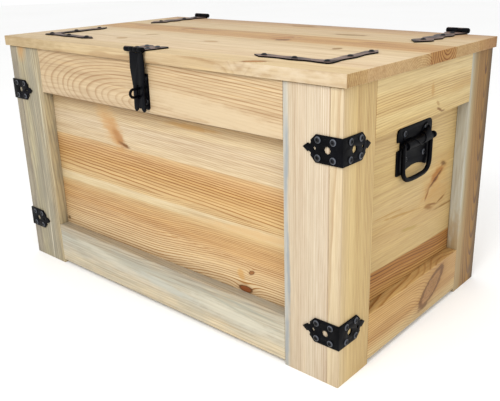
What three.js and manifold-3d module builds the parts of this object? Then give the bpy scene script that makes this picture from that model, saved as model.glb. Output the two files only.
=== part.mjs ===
// A pine storage chest with a hinged lid, a hasp, folded corner brackets and two bail handles.
// Millimetres. X runs along the chest with its right end at +X, -Y is the front, and +Z is up.
// The corner posts stand on z = 0.
import * as THREE from 'three';
import { mergeVertices } from 'three/addons/utils/BufferGeometryUtils.js';
import Module from 'manifold-3d';

const wasm = await Module();
wasm.setup();

// ---- Driving dimensions -------------------------------------------------------------------------

const GAP = 0.3; // between pieces that touch

// Carcass
const BODY_LENGTH = 786;
const BODY_DEPTH = 458;
const CHEST_HEIGHT = 460; // floor to the lid's top
const FRAME_T = 20; // thickness of the stiles and rails
const FRAME_W = 80; // width of a side stile
const POST_FACE = 98; // width of a corner as seen from the front
const POST_TOP_DROP = 1.2; // from the lid's underside down to the stiles
const RAIL_TOP_DROP = 0.6; // from the lid's underside down to the top rails
const TOP_RAIL_W = 82;
const BOTTOM_RAIL_W = 78;
const RAIL_CLEARANCE = 8; // the bottom rails stay this far above the floor
const PANEL_T = 18;
const PANEL_BOTTOM = 12;
const CLEAT = 20;
const FLOOR_T = 12;

// Lid
const LID_LENGTH = 800;
const LID_DEPTH = 460;
const LID_T = 18;
const LID_FRONT_OVERHANG = 4.5;
const BATTEN_W = 60;
const BATTEN_T = 18;
const BATTEN_LENGTH = 350;
const BATTEN_X = 230;

// Sheet-steel hardware
const SHEET_T = 2;
const SCREW_HOLE_R = 2.4;
const PIN_HEAD_T = 1.2;
const PIN_HEAD_RIM = 1.4; // how far a pin's heads stand out beyond its shank

// Folded corner brackets
const BRACKET_H = 38.6;
const BRACKET_TAPER = 42.5; // from the fold to where the wing starts to taper
const BRACKET_TIP = 63.8; // from the fold to the point
const BRACKET_FOLD_SHIFT = 1.2; // the side wing is longer by this much, and the front wing shorter
const BRACKET_Z = [84, 357.5]; // heights of the lower and upper brackets
const BRACKET_HOLE_X = 23.8;
const BRACKET_HOLE_R = 5.4;
const BRACKET_DIAMOND_X = 44.3;
const BRACKET_BITE_R = 3.3;
const BRACKET_SCREWS = [14.2, 38.7]; // from the fold to the two pairs of screws
const BRACKET_SCREW_RISE = 12.3;

// Flat corner plates on the lid
const CORNER_X = 338.6; // outer edges of the right-hand plate
const CORNER_Y = -183.5;
const CORNER_ARM = 142;
const CORNER_HALF_W = 11;
const CORNER_WAIST = 3.4; // the arms are narrower by this much on each side between two holes
const CORNER_PITCH = 56;

// Strap hinges
const HINGE_X = 324;
const HINGE_BARREL_W = 40;
const HINGE_BARREL_R = 4.8;
const HINGE_PIN_R = 2.2;
const HINGE_KNUCKLES = 4;
const KNUCKLE_CLEARANCE = 0.5;
const STRAP_TIP_Y = 75;
const STRAP_WAIST_HALF_W = 10.8;
const STRAP_LOBES = [[19, 101], [17.5, 137], [16.5, 180]]; // half width and y of the wide places
const STRAP_WAISTS = [122, 160, 199]; // y of the narrow places behind them
const STRAP_SCREWS = [105, 176, 212];
const REAR_LEAF_H = 44;

// Hasp
const HASP_X = 5.8; // middle of the swinging strap and of the staple plate
const HASP_BARREL = [-20, 23.2];
const HASP_BARREL_R = 4.4;
const HASP_PIN_R = 2;
const HASP_AXIS_Y = -238.2;
const HASP_AXIS_Z = 462.4;
const HASP_LEAF_BACK_Y = -186;
const HASP_LEAF_FLARE = 6; // the leaf is wider by this much on each side at its back
const HASP_STRAP_W = 34.6;
const HASP_STRAP_NARROW_W = 26;
const HASP_STRAP_END_Z = 362.5;
const HASP_SLOT_HALF_W = 4;
const HASP_SLOT = [55.6, 79.5]; // from the hinge axis to the slot's two ends
const STAPLE_W = 29.5;
const STAPLE_Z = [365, 424];
const LOOP_Z = 394.3;
const LOOP_R = 6.4; // to the middle of the wire
const LOOP_WIRE_R = 2.3;
const LOOP_CENTRE_Y = -250.2;

// Bail handles on the side panels
const HANDLE_Y = -0.6;
const HANDLE_TOP_Z = 349;
const HANDLE_BOTTOM_Z = 275;
const HANDLE_W = 109;
const HANDLE_SCREWS = [[-33, 339], [33, 339], [-29, 297], [29, 297]]; // from the middle, and height
const HANDLE_AXLE_Z = 322;
const HANDLE_NOTCH = 7; // half the height of the notches that clear the axle's ends
const HANDLE_NOTCH_DEPTH = 9;
const HANDLE_AXLE_OUT = 7.2; // from the panel to the axle's middle
const HANDLE_AXLE_R = 3;
const HANDLE_AXLE_HEAD = 5; // how long the axle's one head is
const HANDLE_AXLE_RIM = 2.8; // how far it stands out beyond the axle
const HANDLE_CORNER_R = 9;
const HANDLE_FOOT = 16; // width of the straight lower edge on each side of the arched part
const HANDLE_ARCH = 18;
const HANDLE_ROLL_R = 6.6;
const BAIL_LEG_Y = 43; // from the handle's middle to the middle of a leg
const BAIL_ROD_R = 3.8;
const BAIL_DROP = 55.5; // from the axle to the middle of the bottom bar
const BAIL_SAG = 4;
const BAIL_CORNER_R = 20;

// ---- Derived places -----------------------------------------------------------------------------

const SIDE = BODY_LENGTH / 2;
const FRONT = -BODY_DEPTH / 2;
const BACK = BODY_DEPTH / 2;
const LID_UNDER = CHEST_HEIGHT - LID_T;
const LID_FRONT = FRONT - LID_FRONT_OVERHANG;
const LID_BACK = LID_FRONT + LID_DEPTH;
const PANEL_FACE = FRAME_T + GAP; // from a frame board's outside to the panel behind it
const SHEET_ON_LID = CHEST_HEIGHT + GAP;
const HINGE_AXIS_Y = BACK + GAP + HINGE_BARREL_R;
const HINGE_AXIS_Z = SHEET_ON_LID + HINGE_BARREL_R;
const HANDLE_PANEL_X = SIDE - PANEL_FACE;

const PINE = new THREE.MeshStandardMaterial({ color: 0xdcc190, roughness: 0.7, metalness: 0 });
const PINE_PANEL = new THREE.MeshStandardMaterial({ color: 0xd9b27a, roughness: 0.72, metalness: 0 });
const PINE_LID = new THREE.MeshStandardMaterial({ color: 0xdfc79b, roughness: 0.7, metalness: 0 });
const PINE_INSIDE = new THREE.MeshStandardMaterial({ color: 0xd2b27c, roughness: 0.78, metalness: 0 });
const BLACK_STEEL = new THREE.MeshStandardMaterial({ color: 0x17171b, roughness: 0.45, metalness: 0.6 });

const chest = new THREE.Group();

// ---- Small tools --------------------------------------------------------------------------------

function solidOf(geometry) {
  const bare = geometry.index ? geometry.toNonIndexed() : geometry.clone();
  bare.deleteAttribute('normal');
  bare.deleteAttribute('uv');
  const merged = mergeVertices(bare, 1e-4);
  return new wasm.Manifold(new wasm.Mesh({
    numProp: 3,
    vertProperties: merged.attributes.position.array,
    triVerts: new Uint32Array(merged.index.array),
  }));
}

function geometryOf(solid) {
  const mesh = solid.getMesh();
  const geometry = new THREE.BufferGeometry();
  geometry.setAttribute('position', new THREE.BufferAttribute(mesh.vertProperties, 3));
  geometry.setIndex(new THREE.BufferAttribute(mesh.triVerts, 1));
  return geometry;
}

function join(geometries) {
  return geometries.map(solidOf).reduce((all, next) => all.add(next));
}

function place(name, geometry, material, parent = chest) {
  const mesh = new THREE.Mesh(geometry, material);
  mesh.name = name;
  parent.add(mesh);
  return mesh;
}

function boxBetween(x, y, z) {
  const geometry = new THREE.BoxGeometry(x[1] - x[0], y[1] - y[0], z[1] - z[0]);
  return geometry.translate((x[0] + x[1]) / 2, (y[0] + y[1]) / 2, (z[0] + z[1]) / 2);
}

// Puts a span measured from the middle outwards on the side that sign names.
function onSide(sign, inner, outer) {
  return sign > 0 ? [inner, outer] : [-outer, -inner];
}

function sheet(shape, thickness = SHEET_T, curveSegments = 5) {
  return new THREE.ExtrudeGeometry(shape, { depth: thickness, bevelEnabled: false, curveSegments });
}

function hole(x, y, radius) {
  return new THREE.Path().absarc(x, y, radius, 0, 2 * Math.PI, true);
}

function diamond(x, y, halfWidth, halfHeight) {
  const path = new THREE.Path().moveTo(x + halfWidth, y);
  path.lineTo(x, y - halfHeight);
  path.lineTo(x - halfWidth, y);
  path.lineTo(x, y + halfHeight);
  path.closePath();
  return path;
}

function rodAlongX(x, y, z, radius, segments = 18) {
  const geometry = new THREE.CylinderGeometry(radius, radius, x[1] - x[0], segments);
  return geometry.rotateZ(Math.PI / 2).translate((x[0] + x[1]) / 2, y, z);
}

function rodAlongY(x, y, z, radius, segments = 18) {
  const geometry = new THREE.CylinderGeometry(radius, radius, y[1] - y[0], segments);
  return geometry.translate(x, (y[0] + y[1]) / 2, z);
}

// A round rod along a path in three dimensions.
function rodAlong(path, radius, steps, sides = 10) {
  const section = new THREE.Shape().absarc(0, 0, radius, 0, 2 * Math.PI, false);
  return new THREE.ExtrudeGeometry(section, { steps, extrudePath: path, curveSegments: sides / 2 });
}

// Splits a barrel into knuckles with running clearance, and keeps every second one.
function knuckleSpans(barrel, count, first) {
  const pitch = (barrel[1] - barrel[0]) / count;
  const spans = [];
  for (let i = first; i < count; i += 2) {
    const start = barrel[0] + i * pitch;
    spans.push([start + KNUCKLE_CLEARANCE / 2, start + pitch - KNUCKLE_CLEARANCE / 2]);
  }
  return spans;
}

// ---- Carcass ------------------------------------------------------------------------------------

function addCorner(sideName, sign, endName, end) {
  const stileZ = [0, LID_UNDER - POST_TOP_DROP];
  const sideX = onSide(sign, SIDE - FRAME_T, SIDE);
  const sideY = onSide(end, BACK - FRAME_W, BACK);
  place(`${sideName}_${endName}_stile`, boxBetween(sideX, sideY, stileZ), PINE);
  const faceX = onSide(sign, SIDE - POST_FACE, SIDE - FRAME_T - GAP);
  const faceY = onSide(end, BACK - FRAME_T, BACK);
  place(`${endName}_${sideName}_stile`, boxBetween(faceX, faceY, stileZ), PINE);
}

function addRails(name, x, y) {
  const topZ = [LID_UNDER - RAIL_TOP_DROP - TOP_RAIL_W, LID_UNDER - RAIL_TOP_DROP];
  const bottomZ = [RAIL_CLEARANCE, RAIL_CLEARANCE + BOTTOM_RAIL_W];
  place(`${name}_top_rail`, boxBetween(x, y, topZ), PINE);
  place(`${name}_bottom_rail`, boxBetween(x, y, bottomZ), PINE);
}

function addPanels() {
  const panelZ = [PANEL_BOTTOM, LID_UNDER - POST_TOP_DROP];
  const longX = [-(SIDE - PANEL_FACE), SIDE - PANEL_FACE];
  const longIn = BACK - PANEL_FACE - PANEL_T;
  const shortY = [-(longIn - GAP), longIn - GAP];
  for (const [name, end] of [['front', -1], ['rear', 1]]) {
    place(`${name}_panel`, boxBetween(longX, onSide(end, longIn, longIn + PANEL_T), panelZ), PINE_PANEL);
    const cleatY = onSide(end, longIn - GAP - CLEAT, longIn - GAP);
    const cleatX = [-(SIDE - PANEL_FACE - PANEL_T - GAP), SIDE - PANEL_FACE - PANEL_T - GAP];
    const cleatZ = [PANEL_BOTTOM, PANEL_BOTTOM + CLEAT];
    place(`${name}_floor_cleat`, boxBetween(cleatX, cleatY, cleatZ), PINE_INSIDE);
  }
  const sideIn = SIDE - PANEL_FACE - PANEL_T;
  for (const [name, sign] of [['left', -1], ['right', 1]]) {
    place(`${name}_panel`, boxBetween(onSide(sign, sideIn, sideIn + PANEL_T), shortY, panelZ), PINE_PANEL);
  }
  const floorZ = PANEL_BOTTOM + CLEAT + GAP;
  const floorX = [-(sideIn - GAP), sideIn - GAP];
  place('bottom_board', boxBetween(floorX, shortY, [floorZ, floorZ + FLOOR_T]), PINE_INSIDE);
}

function addCarcass() {
  for (const [sideName, sign] of [['left', -1], ['right', 1]]) {
    for (const [endName, end] of [['front', -1], ['rear', 1]]) {
      addCorner(sideName, sign, endName, end);
    }
  }
  const railX = SIDE - POST_FACE - GAP;
  const railY = BACK - FRAME_W - GAP;
  addRails('front', [-railX, railX], [FRONT, FRONT + FRAME_T]);
  addRails('rear', [-railX, railX], [BACK - FRAME_T, BACK]);
  addRails('left', [-SIDE, -SIDE + FRAME_T], [-railY, railY]);
  addRails('right', [SIDE - FRAME_T, SIDE], [-railY, railY]);
  addPanels();
}

// ---- Lid ----------------------------------------------------------------------------------------

function addLid() {
  const lidX = [-LID_LENGTH / 2, LID_LENGTH / 2];
  place('lid_panel', boxBetween(lidX, [LID_FRONT, LID_BACK], [LID_UNDER, CHEST_HEIGHT]), PINE_LID);
  for (const [name, sign] of [['left', -1], ['right', 1]]) {
    const x = [sign * BATTEN_X - BATTEN_W / 2, sign * BATTEN_X + BATTEN_W / 2];
    const y = [-BATTEN_LENGTH / 2, BATTEN_LENGTH / 2];
    const z = [LID_UNDER - GAP - BATTEN_T, LID_UNDER - GAP];
    place(`lid_batten_${name}`, boxBetween(x, y, z), PINE_INSIDE);
  }
}

// ---- Corner brackets ----------------------------------------------------------------------------

// One wing, drawn from the fold at x = 0 towards its point at +x, with y = 0 at mid height.
function bracketWing(foldOverlap, shift) {
  const half = BRACKET_H / 2;
  const taper = BRACKET_TAPER + shift;
  const tip = BRACKET_TIP + shift;
  const bite = [taper + 11, 8.2];
  const shape = new THREE.Shape();
  shape.moveTo(-foldOverlap, -half);
  shape.lineTo(taper, -half);
  shape.lineTo(taper + 8.4, -10.6);
  shape.absarc(bite[0], -bite[1], BRACKET_BITE_R, -0.8 * Math.PI, 0.25 * Math.PI, true);
  shape.lineTo(tip, 0);
  shape.absarc(bite[0], bite[1], BRACKET_BITE_R, -0.25 * Math.PI, 0.8 * Math.PI, true);
  shape.lineTo(taper + 8.4, 10.6);
  shape.lineTo(taper, half);
  shape.lineTo(-foldOverlap, half);
  shape.holes.push(hole(BRACKET_HOLE_X + shift, 0, BRACKET_HOLE_R));
  shape.holes.push(diamond(BRACKET_DIAMOND_X + shift, 0, 2.7, 3.4));
  for (const x of BRACKET_SCREWS) {
    for (const y of [-BRACKET_SCREW_RISE, BRACKET_SCREW_RISE]) {
      shape.holes.push(hole(x + shift, y, SCREW_HOLE_R));
    }
  }
  return shape;
}

// The right-hand bracket at a height: one wing on the front stile, one on the side stile.
function rightBracket(z) {
  const out = GAP + SHEET_T;
  const front = sheet(bracketWing(out, -BRACKET_FOLD_SHIFT), SHEET_T, 4);
  front.rotateX(Math.PI / 2).rotateZ(Math.PI).translate(SIDE, FRONT - out, z);
  const side = sheet(bracketWing(out, BRACKET_FOLD_SHIFT), SHEET_T, 4);
  side.rotateX(Math.PI / 2).rotateZ(Math.PI / 2).translate(SIDE + GAP, FRONT, z);
  return join([front, side]);
}

function addBrackets() {
  for (const [level, z] of [['lower', BRACKET_Z[0]], ['upper', BRACKET_Z[1]]]) {
    const right = rightBracket(z);
    place(`corner_bracket_right_${level}`, geometryOf(right), BLACK_STEEL);
    place(`corner_bracket_left_${level}`, geometryOf(right.mirror([1, 0, 0])), BLACK_STEEL);
  }
}

// ---- Flat corner plates on the lid --------------------------------------------------------------

// The wavy edge of an arm: widest beside each hole and waisted between them.
function waveInset(distance, pitch, waist) {
  return (waist * (1 - Math.cos(2 * Math.PI * distance / pitch))) / 2;
}

// The right-hand plate: the corner at the origin, one arm along -x and one along +y.
function cornerPlateShape() {
  const reach = CORNER_ARM - 18;
  const steps = 10;
  const along = (i) => CORNER_HALF_W + (i * (reach - CORNER_HALF_W)) / steps;
  const inset = (d) => waveInset(d - CORNER_HALF_W, CORNER_PITCH, CORNER_WAIST);
  const width = 2 * CORNER_HALF_W;
  const points = [[-CORNER_HALF_W + 6, 0], [-1.5, 1.5], [0, 6]];
  for (let i = 0; i <= steps; i += 1) points.push([-inset(along(i)), along(i)]);
  points.push([-CORNER_HALF_W, CORNER_ARM]);
  for (let i = steps; i > 1; i -= 1) points.push([-width + inset(along(i)), along(i)]);
  points.push([-width, width]);
  for (let i = 2; i <= steps; i += 1) points.push([-along(i), width - inset(along(i))]);
  points.push([-CORNER_ARM, CORNER_HALF_W]);
  for (let i = steps; i > 0; i -= 1) points.push([-along(i), inset(along(i))]);
  const shape = new THREE.Shape(points.map(([x, y]) => new THREE.Vector2(x, y)));
  for (let i = 0; i < 3; i += 1) {
    shape.holes.push(hole(-CORNER_HALF_W - i * CORNER_PITCH, CORNER_HALF_W, SCREW_HOLE_R));
    if (i > 0) shape.holes.push(hole(-CORNER_HALF_W, CORNER_HALF_W + i * CORNER_PITCH, SCREW_HOLE_R));
  }
  return shape;
}

function addCornerPlates() {
  const right = solidOf(sheet(cornerPlateShape()).translate(CORNER_X, CORNER_Y, SHEET_ON_LID));
  place('lid_corner_plate_right', geometryOf(right), BLACK_STEEL);
  place('lid_corner_plate_left', geometryOf(right.mirror([1, 0, 0])), BLACK_STEEL);
}

// ---- Strap hinges -------------------------------------------------------------------------------

const HINGE_BARREL = [-HINGE_BARREL_W / 2, HINGE_BARREL_W / 2];

// The strap seen from above, with x = 0 at its middle and y as on the chest.
function strapShape(rootY) {
  const root = HINGE_BARREL_W / 2 - KNUCKLE_CLEARANCE / 2;
  const side = STRAP_LOBES.flatMap(([halfWidth, y], i) => [
    [halfWidth, y - 1.5],
    [halfWidth, y + 4],
    [STRAP_WAIST_HALF_W, STRAP_WAISTS[i]],
  ]);
  side.push([root, rootY - 7], [root, rootY]);
  const left = side.map(([x, y]) => [-x, y]).reverse();
  const points = [[0, STRAP_TIP_Y], ...side, ...left];
  const shape = new THREE.Shape(points.map(([x, y]) => new THREE.Vector2(x, y)));
  for (const y of STRAP_SCREWS) shape.holes.push(hole(0, y, SCREW_HOLE_R));
  return shape;
}

function knucklesOnX(spans, axisY, axisZ, radius) {
  return spans.map((span) => rodAlongX(span, axisY, axisZ, radius));
}

function hingeStrap() {
  const rootY = HINGE_AXIS_Y - HINGE_BARREL_R - KNUCKLE_CLEARANCE;
  const spans = knuckleSpans(HINGE_BARREL, HINGE_KNUCKLES, 0);
  const strap = sheet(strapShape(rootY)).translate(0, 0, SHEET_ON_LID);
  const tongueZ = [SHEET_ON_LID, SHEET_ON_LID + SHEET_T];
  const tongues = spans.map((span) => boxBetween(span, [rootY - 1, HINGE_AXIS_Y], tongueZ));
  const knuckles = knucklesOnX(spans, HINGE_AXIS_Y, HINGE_AXIS_Z, HINGE_BARREL_R);
  return boreHinge(join([strap, ...tongues, ...knuckles]));
}

function rearLeaf() {
  const topZ = HINGE_AXIS_Z - HINGE_BARREL_R - KNUCKLE_CLEARANCE;
  const half = HINGE_BARREL_W / 2 - KNUCKLE_CLEARANCE / 2;
  const spans = knuckleSpans(HINGE_BARREL, HINGE_KNUCKLES, 1);
  const shape = new THREE.Shape();
  shape.moveTo(-half, topZ);
  shape.lineTo(-half, topZ - REAR_LEAF_H + 6);
  shape.lineTo(-half + 6, topZ - REAR_LEAF_H);
  shape.lineTo(half - 6, topZ - REAR_LEAF_H);
  shape.lineTo(half, topZ - REAR_LEAF_H + 6);
  shape.lineTo(half, topZ);
  for (const x of [-12, 12]) {
    for (const z of [topZ - 24, topZ - REAR_LEAF_H + 9]) {
      shape.holes.push(hole(x, z, SCREW_HOLE_R));
    }
  }
  const plate = sheet(shape).rotateX(Math.PI / 2).translate(0, BACK + GAP + SHEET_T, 0);
  const tongueY = [BACK + GAP, BACK + GAP + SHEET_T];
  const tongues = spans.map((span) => boxBetween(span, tongueY, [topZ - 1, HINGE_AXIS_Z]));
  const knuckles = knucklesOnX(spans, HINGE_AXIS_Y, HINGE_AXIS_Z, HINGE_BARREL_R);
  return boreHinge(join([plate, ...tongues, ...knuckles]));
}

function boreHinge(solid) {
  const reach = HINGE_BARREL_W / 2 + 2;
  const bore = rodAlongX([-reach, reach], HINGE_AXIS_Y, HINGE_AXIS_Z, HINGE_PIN_R + GAP);
  return solid.subtract(solidOf(bore));
}

function hingePin() {
  const end = HINGE_BARREL_W / 2 + GAP;
  const reach = end + PIN_HEAD_T / 2;
  const shank = rodAlongX([-reach, reach], HINGE_AXIS_Y, HINGE_AXIS_Z, HINGE_PIN_R, 12);
  const heads = [-1, 1].map((sign) => {
    const span = onSide(sign, end, end + PIN_HEAD_T);
    return rodAlongX(span, HINGE_AXIS_Y, HINGE_AXIS_Z, HINGE_PIN_R + PIN_HEAD_RIM, 12);
  });
  return join([shank, ...heads]);
}

function addHinges() {
  for (const [name, sign] of [['left', -1], ['right', 1]]) {
    const hinge = new THREE.Group();
    hinge.position.x = sign * HINGE_X;
    chest.add(hinge);
    place(`hinge_strap_${name}`, geometryOf(hingeStrap()), BLACK_STEEL, hinge);
    place(`hinge_rear_leaf_${name}`, geometryOf(rearLeaf()), BLACK_STEEL, hinge);
    place(`hinge_pin_${name}`, geometryOf(hingePin()), BLACK_STEEL, hinge);
  }
}

// ---- Hasp ---------------------------------------------------------------------------------------

// Adds a plate's end from one side to the other: two rounded lobes with a small point between them.
function fishtail(shape, from, to, low, up = 1) {
  const width = to - from;
  const profile = [[0, 4], [0.08, 0.8], [0.19, 0], [0.31, 2.6], [0.42, 8.6], [0.5, 5.6]];
  const whole = [...profile, ...profile.slice(0, 5).map(([t, rise]) => [1 - t, rise]).reverse()];
  for (const [t, rise] of whole) shape.lineTo(from + t * width, low + up * rise);
}

function boreHasp(solid) {
  const bore = [HASP_BARREL[0] - 2, HASP_BARREL[1] + 2];
  return solid.subtract(solidOf(rodAlongX(bore, HASP_AXIS_Y, HASP_AXIS_Z, HASP_PIN_R + GAP)));
}

function haspLeaf() {
  const spans = knuckleSpans(HASP_BARREL, 4, 0);
  const rootY = HASP_AXIS_Y + HASP_BARREL_R + KNUCKLE_CLEARANCE;
  const [left, right] = HASP_BARREL;
  const shape = new THREE.Shape();
  shape.moveTo(left, rootY);
  shape.lineTo(right, rootY);
  shape.lineTo(right, rootY + 10);
  fishtail(shape, right + HASP_LEAF_FLARE, left - HASP_LEAF_FLARE, HASP_LEAF_BACK_Y, -1);
  shape.lineTo(left, rootY + 10);
  const middle = (left + right) / 2;
  for (const x of [middle - 13, middle + 13]) {
    for (const y of [rootY + 12, rootY + 33]) shape.holes.push(hole(x, y, SCREW_HOLE_R));
  }
  const plate = sheet(shape).translate(0, 0, SHEET_ON_LID);
  const tongueZ = [SHEET_ON_LID, SHEET_ON_LID + SHEET_T];
  const tongues = spans.map((span) => boxBetween(span, [HASP_AXIS_Y, rootY + 1], tongueZ));
  const knuckles = knucklesOnX(spans, HASP_AXIS_Y, HASP_AXIS_Z, HASP_BARREL_R);
  return boreHasp(join([plate, ...tongues, ...knuckles]));
}

// The swinging strap hangs from its knuckles, tapers, and has a slot for the staple's loop.
function haspStrap() {
  const spans = knuckleSpans(HASP_BARREL, 4, 1);
  const topZ = HASP_AXIS_Z - HASP_BARREL_R - KNUCKLE_CLEARANCE;
  const wide = HASP_STRAP_W / 2;
  const narrow = HASP_STRAP_NARROW_W / 2;
  const shape = new THREE.Shape();
  shape.moveTo(-wide + 1.5, topZ);
  shape.lineTo(-wide, topZ - 24);
  shape.lineTo(-narrow, topZ - 54);
  fishtail(shape, -narrow - 0.8, narrow + 0.8, HASP_STRAP_END_Z);
  shape.lineTo(narrow, topZ - 54);
  shape.lineTo(wide, topZ - 24);
  shape.lineTo(wide - 1.5, topZ);
  const slotTop = HASP_AXIS_Z - HASP_SLOT[0] - HASP_SLOT_HALF_W;
  const slotBottom = HASP_AXIS_Z - HASP_SLOT[1] + HASP_SLOT_HALF_W;
  const slot = new THREE.Path();
  slot.absarc(0, slotTop, HASP_SLOT_HALF_W, 0, Math.PI, false);
  slot.absarc(0, slotBottom, HASP_SLOT_HALF_W, Math.PI, 2 * Math.PI, false);
  slot.closePath();
  shape.holes.push(slot);
  const plate = sheet(shape, SHEET_T, 6).rotateX(Math.PI / 2);
  plate.translate(HASP_X, HASP_AXIS_Y + SHEET_T / 2, 0);
  const tongueY = [HASP_AXIS_Y - SHEET_T / 2, HASP_AXIS_Y + SHEET_T / 2];
  const tongues = spans.map((span) => {
    const inside = [Math.max(span[0], HASP_X - wide + 2), Math.min(span[1], HASP_X + wide - 2)];
    return boxBetween(inside, tongueY, [topZ - 1, HASP_AXIS_Z]);
  });
  const knuckles = knucklesOnX(spans, HASP_AXIS_Y, HASP_AXIS_Z, HASP_BARREL_R);
  return boreHasp(join([plate, ...tongues, ...knuckles]));
}

function haspPin() {
  const span = [HASP_BARREL[0] - GAP, HASP_BARREL[1] + GAP];
  const bars = [[span[0] - PIN_HEAD_T, span[0]], [span[1], span[1] + PIN_HEAD_T]].map((head) => (
    rodAlongX(head, HASP_AXIS_Y, HASP_AXIS_Z, HASP_PIN_R + PIN_HEAD_RIM, 12)
  ));
  const reach = PIN_HEAD_T / 2;
  bars.push(rodAlongX([span[0] - reach, span[1] + reach], HASP_AXIS_Y, HASP_AXIS_Z, HASP_PIN_R, 12));
  return join(bars);
}

function staplePlate() {
  const half = STAPLE_W / 2;
  const shape = new THREE.Shape();
  shape.moveTo(half, STAPLE_Z[1]);
  shape.lineTo(-half, STAPLE_Z[1]);
  fishtail(shape, -half, half, STAPLE_Z[0]);
  for (const x of [-half + 5.5, half - 5.5]) {
    for (const z of [STAPLE_Z[1] - 7, STAPLE_Z[0] + 14]) {
      shape.holes.push(hole(x, z, SCREW_HOLE_R));
    }
  }
  return solidOf(sheet(shape).rotateX(Math.PI / 2).translate(HASP_X, FRONT - GAP, 0));
}

// The padlock loop: out from the plate, round a half circle, and back.
class LoopPath extends THREE.Curve {
  getPoint(t, target = new THREE.Vector3()) {
    const startY = FRONT - GAP - SHEET_T - GAP;
    const leg = startY - LOOP_CENTRE_Y;
    const arc = Math.PI * LOOP_R;
    const run = t * (2 * leg + arc);
    if (run < leg) return target.set(HASP_X, startY - run, LOOP_Z + LOOP_R);
    if (run > leg + arc) return target.set(HASP_X, LOOP_CENTRE_Y + run - leg - arc, LOOP_Z - LOOP_R);
    const turn = (run - leg) / LOOP_R;
    return target.set(HASP_X, LOOP_CENTRE_Y - LOOP_R * Math.sin(turn), LOOP_Z + LOOP_R * Math.cos(turn));
  }
}

function addHasp() {
  place('hasp_lid_leaf', geometryOf(haspLeaf()), BLACK_STEEL);
  place('hasp_strap', geometryOf(haspStrap()), BLACK_STEEL);
  place('hasp_pin', geometryOf(haspPin()), BLACK_STEEL);
  place('hasp_staple_plate', geometryOf(staplePlate()), BLACK_STEEL);
  place('hasp_staple_loop', rodAlong(new LoopPath(), LOOP_WIRE_R, 18), BLACK_STEEL);
}

// ---- Bail handles -------------------------------------------------------------------------------

// The backing plate, with y across the chest as x here, and height as y.
function handleShape() {
  const half = HANDLE_W / 2;
  const round = HANDLE_CORNER_R;
  const notchTop = HANDLE_AXLE_Z + HANDLE_NOTCH;
  const notchBottom = HANDLE_AXLE_Z - HANDLE_NOTCH;
  const shape = new THREE.Shape();
  shape.moveTo(-half, HANDLE_BOTTOM_Z + 2);
  shape.quadraticCurveTo(-half, HANDLE_BOTTOM_Z, -half + 5, HANDLE_BOTTOM_Z);
  shape.lineTo(-half + HANDLE_FOOT, HANDLE_BOTTOM_Z);
  shape.quadraticCurveTo(0, HANDLE_BOTTOM_Z + HANDLE_ARCH, half - HANDLE_FOOT, HANDLE_BOTTOM_Z);
  shape.lineTo(half - 5, HANDLE_BOTTOM_Z);
  shape.quadraticCurveTo(half, HANDLE_BOTTOM_Z, half, HANDLE_BOTTOM_Z + 2);
  shape.lineTo(half, notchBottom);
  shape.lineTo(half - HANDLE_NOTCH_DEPTH, notchBottom + 0.8);
  shape.lineTo(half - HANDLE_NOTCH_DEPTH, notchTop - 0.8);
  shape.lineTo(half, notchTop);
  shape.absarc(half - round, HANDLE_TOP_Z - round, round, 0, Math.PI / 2, false);
  shape.absarc(-half + round, HANDLE_TOP_Z - round, round, Math.PI / 2, Math.PI, false);
  shape.lineTo(-half, notchTop);
  shape.lineTo(-half + HANDLE_NOTCH_DEPTH, notchTop - 0.8);
  shape.lineTo(-half + HANDLE_NOTCH_DEPTH, notchBottom + 0.8);
  shape.lineTo(-half, notchBottom);
  for (const [y, z] of HANDLE_SCREWS) {
    shape.holes.push(hole(y, z, SCREW_HOLE_R));
  }
  return shape;
}

// The plate and the pressed roll that carries the axle. The panel's face is at x = 0.
function handlePlate() {
  const plate = sheet(handleShape()).rotateX(Math.PI / 2).rotateZ(Math.PI / 2).translate(GAP, 0, 0);
  const rollHalf = BAIL_LEG_Y - BAIL_ROD_R - 1;
  const roll = rodAlongY(HANDLE_AXLE_OUT, [-rollHalf, rollHalf], HANDLE_AXLE_Z, HANDLE_ROLL_R);
  const web = boxBetween([GAP + SHEET_T / 2, HANDLE_AXLE_OUT], [-rollHalf, rollHalf],
    [HANDLE_AXLE_Z - HANDLE_ROLL_R, HANDLE_AXLE_Z + HANDLE_ROLL_R]);
  const bore = rodAlongY(HANDLE_AXLE_OUT, [-HANDLE_W, HANDLE_W], HANDLE_AXLE_Z, HANDLE_AXLE_R + GAP);
  const behind = boxBetween([-HANDLE_ROLL_R, GAP], [-HANDLE_W, HANDLE_W], [HANDLE_BOTTOM_Z, HANDLE_TOP_Z]);
  return join([plate, roll, web]).subtract(solidOf(bore)).subtract(solidOf(behind));
}

function handleAxle() {
  const end = BAIL_LEG_Y + BAIL_ROD_R + 1;
  const shank = rodAlongY(HANDLE_AXLE_OUT, [-end, end + 1], HANDLE_AXLE_Z, HANDLE_AXLE_R, 14);
  const headSpan = [end, end + HANDLE_AXLE_HEAD];
  const head = rodAlongY(HANDLE_AXLE_OUT, headSpan, HANDLE_AXLE_Z, HANDLE_AXLE_R + HANDLE_AXLE_RIM, 14);
  return join([shank, head]);
}

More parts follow.
